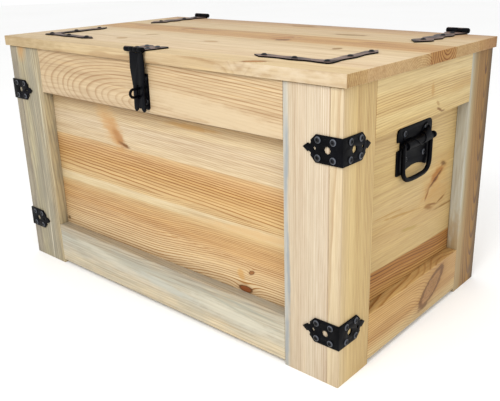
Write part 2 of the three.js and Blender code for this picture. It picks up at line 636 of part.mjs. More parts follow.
// Two legs and a slightly sagging bottom bar with rounded corners, as a path below the axle.
function bailPath() {
  const bottom = HANDLE_AXLE_Z - BAIL_DROP;
  const at = (y, z) => new THREE.Vector3(HANDLE_AXLE_OUT, y, z);
  const corner = at(BAIL_LEG_Y, bottom);
  const legEnd = at(BAIL_LEG_Y, bottom + BAIL_CORNER_R);
  const barEnd = at(BAIL_LEG_Y - BAIL_CORNER_R, bottom - BAIL_SAG / 2);
  const flip = (point) => at(-point.y, point.z);
  const path = new THREE.CurvePath();
  path.add(new THREE.LineCurve3(at(BAIL_LEG_Y, HANDLE_AXLE_Z), legEnd));
  path.add(new THREE.QuadraticBezierCurve3(legEnd, corner, barEnd));
  path.add(new THREE.QuadraticBezierCurve3(barEnd, at(0, bottom - BAIL_SAG), flip(barEnd)));
  path.add(new THREE.QuadraticBezierCurve3(flip(barEnd), flip(corner), flip(legEnd)));
  path.add(new THREE.LineCurve3(flip(legEnd), at(-BAIL_LEG_Y, HANDLE_AXLE_Z)));
  return path;
}

function bail() {
  const rod = rodAlong(bailPath(), BAIL_ROD_R, 40);
  const eyes = [-1, 1].map((sign) => {
    const span = onSide(sign, BAIL_LEG_Y - BAIL_ROD_R, BAIL_LEG_Y + BAIL_ROD_R);
    return rodAlongY(HANDLE_AXLE_OUT, span, HANDLE_AXLE_Z, BAIL_ROD_R + 0.6);
  });
  const bore = rodAlongY(HANDLE_AXLE_OUT, [-HANDLE_W, HANDLE_W], HANDLE_AXLE_Z, HANDLE_AXLE_R + GAP);
  return join([rod, ...eyes]).subtract(solidOf(bore));
}

function addHandles() {
  const pieces = { plate: handlePlate(), axle: handleAxle(), bail: bail() };
  for (const [part, solid] of Object.entries(pieces)) {
    const right = solid.translate([HANDLE_PANEL_X, HANDLE_Y, 0]);
    place(`handle_right_${part}`, geometryOf(right), BLACK_STEEL);
    place(`handle_left_${part}`, geometryOf(right.mirror([1, 0, 0])), BLACK_STEEL);
  }
}

// ---- The whole chest ----------------------------------------------------------------------------

addCarcass();
addLid();
addBrackets();
addCornerPlates();
addHinges();
addHasp();
addHandles();

// The frame's origin is on the floor under the middle of everything, hardware included.
const foremost = LOOP_CENTRE_Y - LOOP_R - LOOP_WIRE_R;
const hindmost = HINGE_AXIS_Y + HINGE_BARREL_R;
chest.position.y = -(foremost + hindmost) / 2;

export default chest;
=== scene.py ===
import math
from dataclasses import dataclass, field

import bmesh
import bpy
from mathutils import Matrix, Vector


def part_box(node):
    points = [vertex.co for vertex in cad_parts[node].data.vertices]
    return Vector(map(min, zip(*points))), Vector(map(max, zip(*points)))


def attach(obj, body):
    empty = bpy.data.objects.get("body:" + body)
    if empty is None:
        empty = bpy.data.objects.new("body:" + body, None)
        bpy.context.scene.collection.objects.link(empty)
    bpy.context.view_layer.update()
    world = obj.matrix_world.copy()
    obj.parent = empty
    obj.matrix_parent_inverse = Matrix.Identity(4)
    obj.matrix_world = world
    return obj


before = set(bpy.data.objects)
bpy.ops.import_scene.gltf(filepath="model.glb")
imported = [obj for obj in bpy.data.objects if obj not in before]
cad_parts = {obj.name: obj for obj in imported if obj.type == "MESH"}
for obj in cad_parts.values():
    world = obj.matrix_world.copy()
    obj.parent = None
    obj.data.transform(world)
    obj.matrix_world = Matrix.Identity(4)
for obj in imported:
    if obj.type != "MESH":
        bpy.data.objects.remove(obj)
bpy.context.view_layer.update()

# A pine chest with black hardware. Metres; X along the chest, -Y its front, +Z up.

MM = 0.001
AXES = {"x": 0, "y": 1, "z": 2}


# ---- Expressions for material nodes --------------------------------------------------------------


def srgb(code, alpha=1.0):
    """A colour written as six hexadecimal digits, as linear numbers."""
    levels = [int(code[i:i + 2], 16) / 255 for i in (0, 2, 4)]
    linear = [v / 12.92 if v <= 0.04045 else ((v + 0.055) / 1.055) ** 2.4 for v in levels]
    return (*linear, alpha)


class Field:
    """One value or colour that varies over a surface: an output of a material's nodes."""

    def __init__(self, nodes, socket):
        self.nodes = nodes
        self.socket = socket

    def node(self, kind, *inputs, **settings):
        made = self.nodes.nodes.new(kind)
        for name, value in settings.items():
            setattr(made, name, value)
        for slot, value in zip(made.inputs, inputs):
            feed(self.nodes, slot, value)
        return made

    def math(self, operation, *others):
        made = self.node("ShaderNodeMath", self, *others, operation=operation)
        return Field(self.nodes, made.outputs[0])

    def __add__(self, other):
        return self.math("ADD", other)

    def __sub__(self, other):
        return self.math("SUBTRACT", other)

    def __mul__(self, other):
        return self.math("MULTIPLY", other)

    def __truediv__(self, other):
        return self.math("DIVIDE", other)

    def root(self):
        return self.math("SQRT")

    def fract(self):
        return self.math("FRACT")

    def least(self, other):
        return self.math("MINIMUM", other)

    def ramp(self, low, high):
        """0 at low, 1 at high and smooth between them. With low above high, it falls from 1 to 0."""
        inputs = (self, low, high, 0.0, 1.0)
        made = self.node("ShaderNodeMapRange", *inputs, interpolation_type="SMOOTHSTEP")
        return Field(self.nodes, made.outputs[0])


def feed(nodes, slot, value):
    """Links a field to a node's input, or sets the input to a plain value."""
    if isinstance(value, Field):
        nodes.links.new(value.socket, slot)
    else:
        slot.default_value = value


def combine(x, y, z):
    """A vector field of three values, of which the first is a field."""
    return Field(x.nodes, x.node("ShaderNodeCombineXYZ", x, y, z).outputs[0])


def noise(at, scale=1.0, detail=2.0, roughness=0.5):
    """Cloudy values about 0.5, at a vector field."""
    made = at.node("ShaderNodeTexNoise")
    feed(at.nodes, made.inputs["Vector"], at)
    made.inputs["Scale"].default_value = scale
    made.inputs["Detail"].default_value = detail
    made.inputs["Roughness"].default_value = roughness
    return Field(at.nodes, made.outputs[0])


def streaks(place, along, across, ahead=0.0, aside=0.0, detail=2.0, roughness=0.5):
    """Noise drawn out along a board's grain. along and across are its waves per metre.

    place is the fields along, across and through the board. ahead and aside shift the noise, so
    that no two boards look alike."""
    l, w, t = place
    at = combine(l * along + ahead, w * across + aside, t * across)
    return noise(at, detail=detail, roughness=roughness)


def blend(share, first, second, kind="MIX"):
    """A colour from first to second as share goes from 0 to 1."""
    made = share.node("ShaderNodeMix", data_type="RGBA", blend_type=kind)
    feed(share.nodes, made.inputs[0], share)
    feed(share.nodes, made.inputs[6], first)
    feed(share.nodes, made.inputs[7], second)
    return Field(share.nodes, made.outputs[2])


def colour_bands(across, stops, stepped=False):
    """Colours set at places across a board, and the fourth number of each, as two fields.

    Between two places they blend, or with stepped they keep the lower one's."""
    low, high = stops[0][0], stops[-1][0]
    span = max(high - low, 1e-6)
    made = across.node("ShaderNodeValToRGB", (across - low) / span)
    ramp = made.color_ramp
    ramp.interpolation = "CONSTANT" if stepped else "LINEAR"
    while len(ramp.elements) < len(stops):
        ramp.elements.new(0.5)
    # Places come first, because an element that moves past another changes their order.
    for element, (place, _) in zip(ramp.elements, stops):
        element.position = (place - low) / span
    for element, (_, colour) in zip(ramp.elements, stops):
        element.color = colour
    return Field(across.nodes, made.outputs[0]), Field(across.nodes, made.outputs[1])


def pick(across, starts, values):
    """The value of the stave that a point lies in. A stave runs from its start to the next one's."""
    low, high = min(values), max(values)
    if high - low < 1e-9:
        return values[0]
    shares = [(v - low) / (high - low) for v in values]
    stops = [(s, (v, v, v, 1.0)) for s, v in zip(starts, shares)]
    stops.append((starts[-1] + 1.0, stops[-1][1]))
    grey, _ = colour_bands(across, stops, stepped=True)
    return grey * (high - low) + low


def new_material(name):
    """An empty material and its shader, with three fields each for the object's own coordinates
    and for the surface's normal in them."""
    material = bpy.data.materials.new(name)
    material.use_nodes = True
    nodes = material.node_tree
    shader = nodes.nodes["Principled BSDF"]
    coordinates = nodes.nodes.new("ShaderNodeTexCoord")
    split = nodes.nodes.new("ShaderNodeSeparateXYZ")
    nodes.links.new(coordinates.outputs["Object"], split.inputs[0])
    facing = nodes.nodes.new("ShaderNodeSeparateXYZ")
    nodes.links.new(coordinates.outputs["Normal"], facing.inputs[0])
    point = [Field(nodes, output) for output in split.outputs]
    normal = [Field(nodes, output) for output in facing.outputs]
    return material, shader, point, normal


def add_bump(shader, height, distance, strength):
    """Raises a material's surface by a field, over a distance in metres."""
    made = height.node("ShaderNodeBump")
    made.inputs["Strength"].default_value = strength
    made.inputs["Distance"].default_value = distance
    feed(height.nodes, made.inputs["Height"], height)
    height.nodes.links.new(made.outputs[0], shader.inputs["Normal"])


# ---- Pine ----------------------------------------------------------------------------------------

FALL_EASE = 0.05  # metres over which a log's fall before its heart sets in
RIPPLE = 0.0022  # metres by which small ripples move a growth ring
RING_UNEVEN = 1.5  # how far growth rings crowd together or apart, in rings
EDGE_DRIFT = 0.012  # metres by which the limits of the colours wander
SEED_STEP = 3.7  # how far apart the noise of two neighbouring seeds lies
WOOD_SHINE = 0.25
WOOD_ROUGHNESS = 0.5

FIBRE_TINT = "b09068"
PALE_FIBRE_TINT = "efe6d2"
FINE_FIBRE_TINT = "b08a58"
KNOT_HALO_TINT = "a9763f"
END_GRAIN_TINT = "d8c298"


@dataclass
class Stave:
    """One strip of a board, cut from its own log. Places in mm along and across the board."""

    start: float = -1000.0  # where it begins, across the board
    heart: tuple = (0.0, 0.0)  # where the log's pith comes nearest, along and across
    depth: float = 60.0  # from the board to the pith there
    rise: float = 0.0  # how fast the pith falls away along the board
    fall: float = 0.0  # how much faster it falls away before the heart
    drift: float = 0.0  # how fast the lines run off across the board
    spacing: float = 4.6  # between growth rings
    wave: float = 10.0  # how far the lines wander
    squeeze: float = 1.0  # how much narrower than a plain cone the figure is


@dataclass
class Stain:
    """A stain with soft edges. Its middle and its half sizes, along and across, are in mm."""

    at: tuple
    size: tuple
    tilt: float  # degrees
    colour: str
    strength: float  # 0 leaves the wood as it is, 1 covers it


@dataclass
class Knot(Stain):
    """A knot, which bends the grain round it."""

    rim: str = "54330f"  # colour of its bark ring and of its dark circles
    swirl: float = 0.55  # how far it pushes the grain aside, as a share of its size


@dataclass
class Pine:
    """How one board looks."""

    along: str  # axis that the grain runs along
    across: str  # axis that the board's width lies along
    bands: list  # (place across, colour, how dark the rings are)
    staves: list
    seed: int
    marks: list = field(default_factory=list)
    grain: float = 0.3  # strength of the fibres
    ring_tint: str = "b88f55"  # colour that the rings' dark latewood multiplies by
    stain: float = 0.0  # strength of the cloudy stain
    stain_tint: str = "8f9396"
    blotches: float = 4.0  # of the cloudy stain, per metre of the board
    lean: float = 0.0  # how fast the staves run off across the board


def ring_radius(spec, place, shift):
    """Distance of each point from the pith of the log that it was cut from, and the rings' spacing.

    place is the fields along, across and through the board, in metres."""
    l, w, t = place
    starts = [s.start * MM for s in spec.staves]

    def each(values):
        return pick(w, starts, values)

    away = l - each([s.heart[0] * MM for s in spec.staves])
    before = away.least(0.0)
    before = (before * before + FALL_EASE * FALL_EASE).root() - FALL_EASE
    depth = each([s.depth * MM for s in spec.staves])
    depth = away * each([s.rise for s in spec.staves]) + depth
    depth = before * each([s.fall for s in spec.staves]) + depth
    line = away * each([s.drift for s in spec.staves])
    side = w - each([s.heart[1] * MM for s in spec.staves]) + line
    sway = streaks(place, along=2.6, across=8, ahead=shift) - 0.5
    side = side + sway * each([s.wave * MM for s in spec.staves])
    side = side * each([s.squeeze for s in spec.staves])
    ripple = streaks(place, along=11, across=34, aside=shift, detail=1) - 0.5
    below = depth + t
    radius = (side * side + below * below).root() + ripple * RIPPLE
    return radius, each([s.spacing * MM for s in spec.staves])


def mark_distance(mark, l, w):
    """0 at the middle of a mark and 1 at its rim."""
    turn = math.radians(mark.tilt)
    dl = l - mark.at[0] * MM
    dw = w - mark.at[1] * MM
    u = (dl * math.cos(turn) + dw * math.sin(turn)) / (mark.size[0] * MM)
    v = (dw * math.cos(turn) - dl * math.sin(turn)) / (mark.size[1] * MM)
    return (u * u + v * v).root()


def paint_knot(colour, mark, rim, rough_edge):
    """A knot on a board's colour: a halo, a core of dark circles and a bark ring."""
    halo = rim.ramp(1.9, 0.9) * 0.3 * mark.strength
    colour = blend(halo, colour, srgb(KNOT_HALO_TINT), "MULTIPLY")
    inner = rim + rough_edge * 0.5
    circles = (inner * 3.3 + rough_edge).fract().ramp(0.2, 0.9) * 0.4
    core = blend(circles, srgb(mark.colour), srgb(mark.rim))
    colour = blend(inner.ramp(1.05, 0.85) * mark.strength, colour, core)
    bark = inner.ramp(0.72, 0.95) * inner.ramp(1.25, 1.02)
    return blend(bark * mark.strength * 0.85, colour, srgb(mark.rim))


def paint_stain(colour, mark, rim, rough_edge, drift):
    """A stain on a board's colour, with a soft and ragged edge."""
    soft = (rim + rough_edge * 0.9 + drift * 0.6).ramp(1.15, 0.35)
    return blend(soft * mark.strength, colour, srgb(mark.colour))


def pine(name, spec):
    """The material of one board."""
    material, shader, point, normal = new_material(f"pine_{name}")
    l = point[AXES[spec.along]]
    w = point[AXES[spec.across]]
    through = ({"x", "y", "z"} - {spec.along, spec.across}).pop()
    low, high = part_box(name)
    t = point[AXES[through]] - (low[AXES[through]] + high[AXES[through]]) / 2
    place = (l, w, t)
    shift = spec.seed * SEED_STEP
    strip = w + l * spec.lean
    radius, spacing = ring_radius(spec, (l, strip, t), shift)

    # Grain bends round each knot.
    rims = []
    for mark in spec.marks:
        rim = mark_distance(mark, l, w)
        rims.append(rim)
        if isinstance(mark, Knot):
            push = min(mark.size) * MM * mark.swirl
            radius = radius + (rim * rim * -0.3).math("EXPONENT") * push
    uneven = noise(combine(radius * 55 + shift, 0.0, l * 0.6), detail=1) - 0.5
    phase = (radius / spacing + uneven * RING_UNEVEN).fract()
    late = phase.ramp(0.5, 0.92) * phase.ramp(1.0, 0.93)

    # Broad colour, from sapwood to heartwood, with ragged limits along the grain.
    drift = streaks(place, along=2.2, across=20, aside=shift, detail=3) - 0.5
    stops = [(start * MM, srgb(code, dark)) for start, code, dark in spec.bands]
    colour, dark = colour_bands(strip + drift * EDGE_DRIFT, stops)
    streak = streaks(place, along=1.5, across=75, ahead=shift, detail=3, roughness=0.6)
    colour = blend(streak.ramp(0.35, 0.75) * 0.2, colour, srgb(spec.ring_tint), "MULTIPLY")
    vary = noise(combine(radius * 90, l * 3 + shift, w * 6), detail=1).ramp(0.25, 0.75)
    facing = normal[AXES[spec.along]].math("ABSOLUTE").ramp(0.75, 0.95)
    ring = late * dark * (vary * 0.7 + 0.55) * (facing * 0.9 + 1.0)
    colour = blend(ring.least(1.0), colour, srgb(spec.ring_tint), "MULTIPLY")
    if spec.stain:
        cloud = streaks(place, spec.blotches, 42, ahead=shift, detail=4, roughness=0.62)
        colour = blend(cloud.ramp(0.4, 0.62) * spec.stain, colour, srgb(spec.stain_tint))

    # Fine fibres and pores.
    grain = streaks(place, along=7, across=270, ahead=shift, detail=3, roughness=0.6)
    colour = blend(grain.ramp(0.45, 0.72) * spec.grain, colour, srgb(FIBRE_TINT), "MULTIPLY")
    pale = grain.ramp(0.48, 0.26) * spec.grain
    colour = blend(pale, colour, srgb(PALE_FIBRE_TINT), "SOFT_LIGHT")
    fibre = streaks(place, along=30, across=620, aside=shift, roughness=0.6)
    colour = blend(fibre.ramp(0.3, 0.75) * 0.16, colour, srgb(FINE_FIBRE_TINT), "MULTIPLY")

    rough_edge = streaks(place, along=60, across=140, detail=3) - 0.5
    for mark, rim in zip(spec.marks, rims):
        if isinstance(mark, Knot):
            colour = paint_knot(colour, mark, rim, rough_edge)
        else:
            colour = paint_stain(colour, mark, rim, rough_edge, drift)

    # End grain soaks up more, so it is darker and duller.
    colour = blend(facing * 0.7, colour, srgb(END_GRAIN_TINT), "MULTIPLY")
    feed(colour.nodes, shader.inputs["Base Color"], colour)
    roughness = late * -0.1 + fibre * 0.18 + facing * 0.12 + WOOD_ROUGHNESS
    feed(colour.nodes, shader.inputs["Roughness"], roughness)
    shader.inputs["Specular IOR Level"].default_value = WOOD_SHINE
    add_bump(shader, late * 0.5 + fibre, distance=0.0003, strength=0.35)
    return material


# Places are in mm in the chest's frame. A heart's and a mark's are along the first of the board's
# two axes and then the second. Those of bands and of staves' starts are along the second.
BOARDS = {
    "front_top_rail": Pine(
        "x", "z",
        bands=[(359, "bfab8c", 0.35), (375, "c2ad8c", 0.4), (398, "c1ab88", 0.55),
               (441, "bda784", 0.65)],
        staves=[Stave(heart=(60, 368), depth=11, rise=0.04, fall=0.29, drift=0.055, wave=8)],
        marks=[Stain((160, 378), (200, 21), -5.5, "c0ac8c", 0.85)],
        seed=1),
    "front_bottom_rail": Pine(
        "x", "z",
        bands=[(8, "d2c2a2", 0.3), (22, "d0c1a2", 0.3), (38, "c2b9a4", 0.25), (62, "b4af9d", 0.2),
               (76, "b6ad98", 0.3), (86, "a89b84", 0.4)],
        staves=[Stave(heart=(-500, 130), depth=30, rise=0.06, drift=0.02, spacing=5, wave=16)],
        marks=[Stain((-140, 55), (120, 8), -8, "c4bfae", 0.35),
               Stain((190, 46), (130, 17), -3, "c8c4b2", 0.55),
               Stain((215, 71), (70, 3), -4, "8f9184", 0.6),
               Stain((175, 63), (90, 2.4), -8, "949587", 0.5),
               Stain((20, 48), (90, 9), -4, "b0b4ac", 0.5)],
        seed=2, ring_tint="938a78", stain=0.35, stain_tint="939790", blotches=9),
    "front_panel": Pine(
        "x", "z",
        bands=[(67, "c8b08a", 0.9), (90, "cfb994", 1.0), (116, "ceb58c", 1.0), (137, "c7a97d", 1.0),
               (152, "c09c6b", 1.0), (174, "c2a272", 0.8), (184, "c5aa7c", 0.4), (188, "cbb992", 0.2),
               (200, "cdbc98", 0.25), (204, "c8ae80", 0.9), (221, "c5a674", 1.0), (246, "be9963", 1.0),
               (264, "bf9b6b", 0.9), (277, "c4a679", 0.7), (279, "c8b593", 0.4), (317, "c9b99d", 0.45),
               (332, "c2af8c", 0.5), (351, "b89f78", 0.5)],
        staves=[Stave(-1000, heart=(20, 10), depth=80, rise=-0.2, fall=-0.2, spacing=3.8, wave=18),
                Stave(137, heart=(20, 40), depth=80, rise=-0.2, fall=-0.2, spacing=3.1, wave=14),
                Stave(202, heart=(-100, 185), depth=75, drift=0.035, spacing=3.3, wave=10),
                Stave(278, heart=(-380, 200), depth=30, rise=0.02, drift=0.06, spacing=3.4, wave=10)],
        marks=[Knot((199, 91), (14, 5.5), 3, "80401a", 0.95, swirl=1.5),
               Knot((212, 124), (6, 3), 30, "8a5426", 0.85, swirl=1.5),
               Stain((189, 114), (8, 14), 20, "ba8f52", 0.7),
               Stain((-122, 320), (60, 30), -52, "bd9762", 0.5),
               Stain((-112, 307), (42, 22), -50, "ad7c45", 0.55),
               Stain((-98, 296), (28, 12), -42, "935f2a", 0.6),
               Stain((-84, 285), (17, 4), -12, "6b4216", 0.9),
               Stain((88, 343), (75, 6), 0, "a8824c", 0.8),
               Stain((235, 193), (170, 9), 2, "c2a274", 0.85),
               # Painted shade: a thin dark line just under the top rail, where its shadow and the gap
               # behind it fall on the panel.
               Stain((70, 352.5), (260, 1.7), 0, "6f604a", 0.7),
               Stain((-289, 97), (7, 5), 0, "5d4320", 0.9)],
        seed=3),
    "front_left_stile": Pine(
        "z", "x",
        bands=[(-373, "baae92", 0.5), (-358, "b3a988", 0.5), (-334, "9f9884", 0.5),
               (-314, "a9a088", 0.6), (-306, "a89b7e", 0.7), (-295, "b5a684", 0.5)],
        staves=[Stave(heart=(500, -420), depth=110, rise=0.03, drift=0.03, spacing=4.5, wave=14)],
        marks=[Stain((450, -352), (40, 17), 4, "b08650", 0.75),
               Stain((62, -331), (90, 2), 1.5, "d8cdb4", 0.6),
               Stain((40, -322), (50, 2.2), -1, "857a66", 0.6),
               Stain((330, -309), (110, 2.5), 1, "cfc6ab", 0.5),
               Stain((230, -326), (90, 3), -2, "8b8473", 0.6)],
        seed=4, ring_tint="857c6c", stain=0.5, stain_tint="837f70", blotches=13),
    "left_front_stile": Pine(
        "z", "y",
        bands=[(-219, "9d9582", 0.5), (-190, "a39a86", 0.4), (-139, "b0a285", 0.5)],
        staves=[Stave(heart=(100, -225), depth=25, rise=0.05, spacing=4.2, wave=26)],
        seed=5, ring_tint="6f685a", stain=0.7, stain_tint="7b7468", blotches=13),
    "front_right_stile": Pine(
        "z", "x",
        bands=[(295, "aba89d", 0.1), (301, "b3afa2", 0.1), (307, "c0b29a", 0.2), (330, "c0b19a", 0.25),
               (341, "c6baa4", 0.2), (373, "c3b59f", 0.4)],
        staves=[Stave(heart=(200, 470), depth=50, rise=0.03, drift=0.01, spacing=3.8, wave=7)],
        marks=[Stain((210, 299), (240, 5), 0, "a2a5a3", 0.5),
               Stain((330, 301), (80, 4.5), 1.5, "868d90", 0.75),
               Stain((170, 303), (90, 4), -1.2, "868d90", 0.75),
               Stain((50, 300), (60, 4.5), 2, "8a9093", 0.7)],
        seed=6, grain=0.2),
    "right_front_stile": Pine(
        "z", "y",
        bands=[(-219, "c3b498", 0.3), (-214, "c8b48c", 0.3), (-195, "c9b280", 0.4),
               (-170, "c6ae7a", 0.55), (-139, "c8b07b", 1.0)],
        staves=[Stave(heart=(240, 40), depth=45, rise=0.02, drift=0.012, spacing=3.6, wave=6)],
        seed=7, grain=0.22),
    "right_top_rail": Pine(
        "y", "z",
        bands=[(359, "cdb67e", 0.6), (384, "cfba86", 0.35), (392, "cdb57f", 0.6), (410, "ccb480", 0.6),
               (424, "cdb888", 0.25), (441, "cdb888", 0.25)],
        staves=[Stave(heart=(-60, 520), depth=30, rise=0.02, drift=-0.02, spacing=3.6, wave=7)],
        marks=[Stain((122, 392), (72, 11), 7, "b5935b", 0.55),
               Stain((23, 402), (6.5, 13), 8, "b08a52", 0.75),
               Stain((43, 377), (8, 3.4), -40, "9c763f", 0.65),
               Stain((50, 366), (12, 3), -22, "7a5122", 0.9),
               Stain((60, 362), (10, 1.6), 0, "6b431a", 0.75)],
        seed=8),
    "right_panel": Pine(
        "y", "z",
        bands=[(78, "bd965c", 0.9), (98, "bb9257", 1.0), (102, "a4753e", 1.0), (107, "b88d53", 1.0),
               (112, "a0713a", 1.0), (130, "a2733a", 1.0), (132, "c2a975", 0.2), (177, "bea26f", 0.2),
               (198, "bfa36e", 0.2), (223, "c4ab79", 0.15), (246, "c5ac78", 0.15), (286, "c3a973", 0.2),
               (328, "c6ad7a", 0.25)],
        staves=[Stave(-1000, heart=(60, 240), depth=30, rise=0.04, drift=0.05, spacing=4.8, wave=44),
                Stave(131, heart=(-100, 280), depth=50, rise=0.03, drift=0.06, spacing=3.4, wave=22),
                Stave(205, heart=(40, 400), depth=60, rise=0.05, drift=0.05, spacing=3.6, wave=20)],
        marks=[Stain((100, 240), (66, 34), 28, "b88e4c", 0.5),
               Stain((100, 206), (64, 24), 4, "b0874c", 0.5),
               Stain((99, 243), (42, 13), 26, "9c6526", 0.9),
               Stain((95, 236), (36, 4.2), 27, "673c11", 1.0),
               Stain((120, 257), (14, 6), -12, "6a4a24", 0.85),
               Stain((66, 214), (15, 3.4), 52, "84541f", 0.85),
               Stain((73, 191), (18, 6), -15, "84581f", 0.8),
               Stain((88, 192), (22, 2.6), -12, "7e5420", 0.9),
               Stain((120, 193), (24, 2.6), 14, "7e5420", 0.9),
               Stain((-20, 206), (80, 2.6), -7, "a07a3a", 0.7),
               Stain((10, 172), (34, 4), -8, "a28a4a", 0.6),
               Stain((-60, 218), (60, 2), -3, "a07a3a", 0.6),
               Stain((132, 178), (44, 2.2), -1, "84602a", 0.85)],
        seed=9, lean=0.041, ring_tint="a47a42", grain=0.22),
    "right_bottom_rail": Pine(
        "y", "z",
        bands=[(8, "c6b386", 0.4), (20, "c9b182", 0.5), (30, "c2a370", 0.6), (38, "b5905c", 0.7),
               (56, "bf9d68", 0.7), (86, "bb9861", 0.7)],
        staves=[Stave(heart=(-220, -30), depth=30, rise=0.05, drift=0.03, spacing=3.6, wave=12)],
        marks=[Stain((95, 58), (85, 40), 0, "a57f4e", 0.5),
               Knot((65, 49), (44, 17), 31, "9a734a", 0.85, rim="583412", swirl=0.9),
               Stain((80, 58), (22, 11), 31, "85602f", 0.45)],
        seed=10),
    "right_rear_stile": Pine(
        "z", "y",
        # The bands at 226 and 239 mm darken the stile's rear edge: heartwood tone with painted shade
        # over it.
        bands=[(159, "b4b3a6", 0.1), (164, "aaa48f", 0.15), (172, "a3916d", 0.3), (181, "a0855a", 0.5),
               (192, "987748", 1.0), (214, "957038", 1.0), (226, "7e5f30", 1.0), (239, "5f4a24", 1.0)],
        staves=[Stave(heart=(480, 218), depth=8, fall=0.17, spacing=6.4, wave=22, squeeze=2.3)],
        marks=[Stain((60, 164), (110, 12), 0, "9c8257", 0.8)],
        seed=11, ring_tint="93703a"),
    "rear_right_stile": Pine(
        "z", "x",
        bands=[(295, "c9b184", 0.5), (340, "cbb48b", 0.5), (373, "c2a778", 0.7)],
        staves=[Stave(heart=(160, 380), depth=30, rise=0.05, spacing=4.4, wave=12)],
        seed=12),
    "rear_left_stile": Pine(
        "z", "x",
        bands=[(-373, "c8b086", 0.6), (-330, "ccb48a", 0.5), (-295, "c3a87b", 0.7)],
        staves=[Stave(heart=(260, -340), depth=18, rise=0.07, spacing=4.4, wave=12)],
        marks=[Knot((120, -322), (9, 11), 0, "855232", 0.85)],
        seed=13),
    "left_rear_stile": Pine(
        "z", "y",
        bands=[(159, "c6ad80", 0.6), (200, "cdb68c", 0.5), (239, "c4a878", 0.7)],
        staves=[Stave(heart=(300, 280), depth=30, rise=0.04, spacing=4.2, wave=12)],
        seed=14),
    "rear_top_rail": Pine(
        "x", "z",
        bands=[(359, "cab38a", 0.5), (400, "c6ab7c", 0.8), (441, "ccb68e", 0.5)],
        staves=[Stave(heart=(-60, 402), depth=8, fall=0.16, spacing=4.4, wave=10)],
        marks=[Knot((150, 392), (14, 10), 0, "8a5834", 0.85)],
        seed=15),
    "rear_bottom_rail": Pine(
        "x", "z",
        bands=[(8, "c8b088", 0.5), (50, "c0a271", 0.8), (86, "cab189", 0.5)],
        staves=[Stave(heart=(200, 50), depth=14, rise=0.05, spacing=4.6, wave=12)],
        seed=16),
    "rear_panel": Pine(
        "x", "z",
        bands=[(82, "c4a574", 0.7), (150, "c8ab7b", 0.6), (152, "ccb48c", 0.4), (228, "c8ae82", 0.6),
               (230, "bd985f", 0.9), (300, "bb945a", 0.9), (302, "cbb387", 0.5), (358, "c9b084", 0.5)],
        staves=[Stave(-1000, heart=(-150, 60), depth=20, rise=0.04, spacing=4.8, wave=14),
                Stave(151, heart=(90, 190), depth=12, fall=0.14, spacing=4.6, wave=14),
                Stave(229, heart=(-300, 340), depth=40, rise=0.02, spacing=5, wave=10),
                Stave(301, heart=(200, 330), depth=14, rise=0.06, spacing=4.6, wave=12)],
        marks=[Knot((-120, 185), (15, 11), 10, "80492a", 0.9),
               Knot((170, 260), (10, 7), 0, "8a5733", 0.85),
               Knot((40, 120), (12, 8), -12, "7d4a2c", 0.85)],
        seed=17),
    "left_top_rail": Pine(
        "y", "z",
        bands=[(359, "cbb48b", 0.5), (400, "c5aa7a", 0.7), (441, "ccb68d", 0.5)],
        staves=[Stave(heart=(-150, 398), depth=12, rise=0.06, spacing=4.4, wave=9)],
        seed=18),
    "left_bottom_rail": Pine(
        "y", "z",
        bands=[(8, "c5ad82", 0.5), (50, "c7ad80", 0.7), (86, "c3a677", 0.6)],
        staves=[Stave(heart=(160, 48), depth=14, rise=0.06, spacing=4.6, wave=12)],
        marks=[Knot((-60, 52), (15, 10), 15, "85512f", 0.85)],
        seed=19),
    "left_panel": Pine(
        "y", "z",
        bands=[(82, "c9af80", 0.5), (160, "c6aa7a", 0.6), (162, "bb945c", 0.9), (236, "bd975f", 0.9),
               (238, "ccb489", 0.4), (310, "c9b085", 0.5), (312, "c4a674", 0.7), (358, "c6a978", 0.7)],
        staves=[Stave(-1000, heart=(-60, 110), depth=16, rise=0.05, spacing=4.8, wave=14),
                Stave(161, heart=(180, 260), depth=40, rise=0.02, spacing=5, wave=10),
                Stave(237, heart=(-80, 270), depth=12, rise=0.07, spacing=4.6, wave=12),
                Stave(311, heart=(100, 420), depth=30, rise=0.03, spacing=4.6, wave=10)],
        marks=[Knot((-70, 262), (13, 9), 0, "804b2b", 0.9),
               Knot((90, 130), (11, 8), 20, "855233", 0.85)],
        seed=20),
    "lid_panel": Pine(
        "x", "y",
        bands=[(-224, "bba785", 0.35), (-222, "c0ab84", 0.4), (-176, "c8b38c", 0.35),
               (-174, "cab594", 0.2), (-91, "ccb896", 0.2), (-89, "cdb998", 0.2),
               (-30, "ccb893", 0.25), (-6, "c9b086", 0.4), (-4, "c09d6c", 0.9),
               (40, "bc9763", 1.0), (78, "c09f6d", 0.9), (80, "cbb68e", 0.4), (164, "cab38d", 0.4),
               (166, "c8ad80", 0.45), (205, "bfa078", 0.55), (236, "ae8e68", 0.7)],
        staves=[Stave(-1000, heart=(-120, -60), depth=12, rise=0.05, fall=0.12, spacing=4.2, wave=10),
                Stave(-175, heart=(160, -60), depth=40, rise=0.05, spacing=3.8, wave=12),
                Stave(-90, heart=(-120, -30), depth=30, fall=0.1, rise=0.02, spacing=4.0, wave=12),
                Stave(-5, heart=(420, 50), depth=-13, rise=0.03, spacing=5.5, wave=4),
                Stave(80, heart=(-420, 200), depth=40, rise=0.04, spacing=4.0, wave=12),
                Stave(165, heart=(420, 262), depth=-20, rise=0.06, spacing=4.0, wave=12)],
        marks=[Stain((290, -227), (170, 5), 0, "c6b79e", 0.8),
               Stain((-340, -227), (230, 5), 0, "9c855c", 0.8),
               Knot((20, -75), (13, 5), 10, "a78448", 0.8, rim="8e6a3a"),
               Knot((115, 5), (12, 7), 30, "74491f", 0.95, rim="55371a"),
               Knot((98, 28), (20, 6), 60, "ac733a", 0.75, rim="8a5a2c"),
               Knot((-165, 52), (16, 5), 50, "91602a", 0.9, rim="74491f"),
               Knot((10, 203), (26, 8), 0, "9d7740", 0.85, rim="86602f"),
               Knot((175, 125), (28, 9), 5, "977c4a", 0.8, rim="84683a"),
               Knot((235, -207), (17, 7), 35, "9c6730", 0.85, rim="74481a", swirl=1.8),
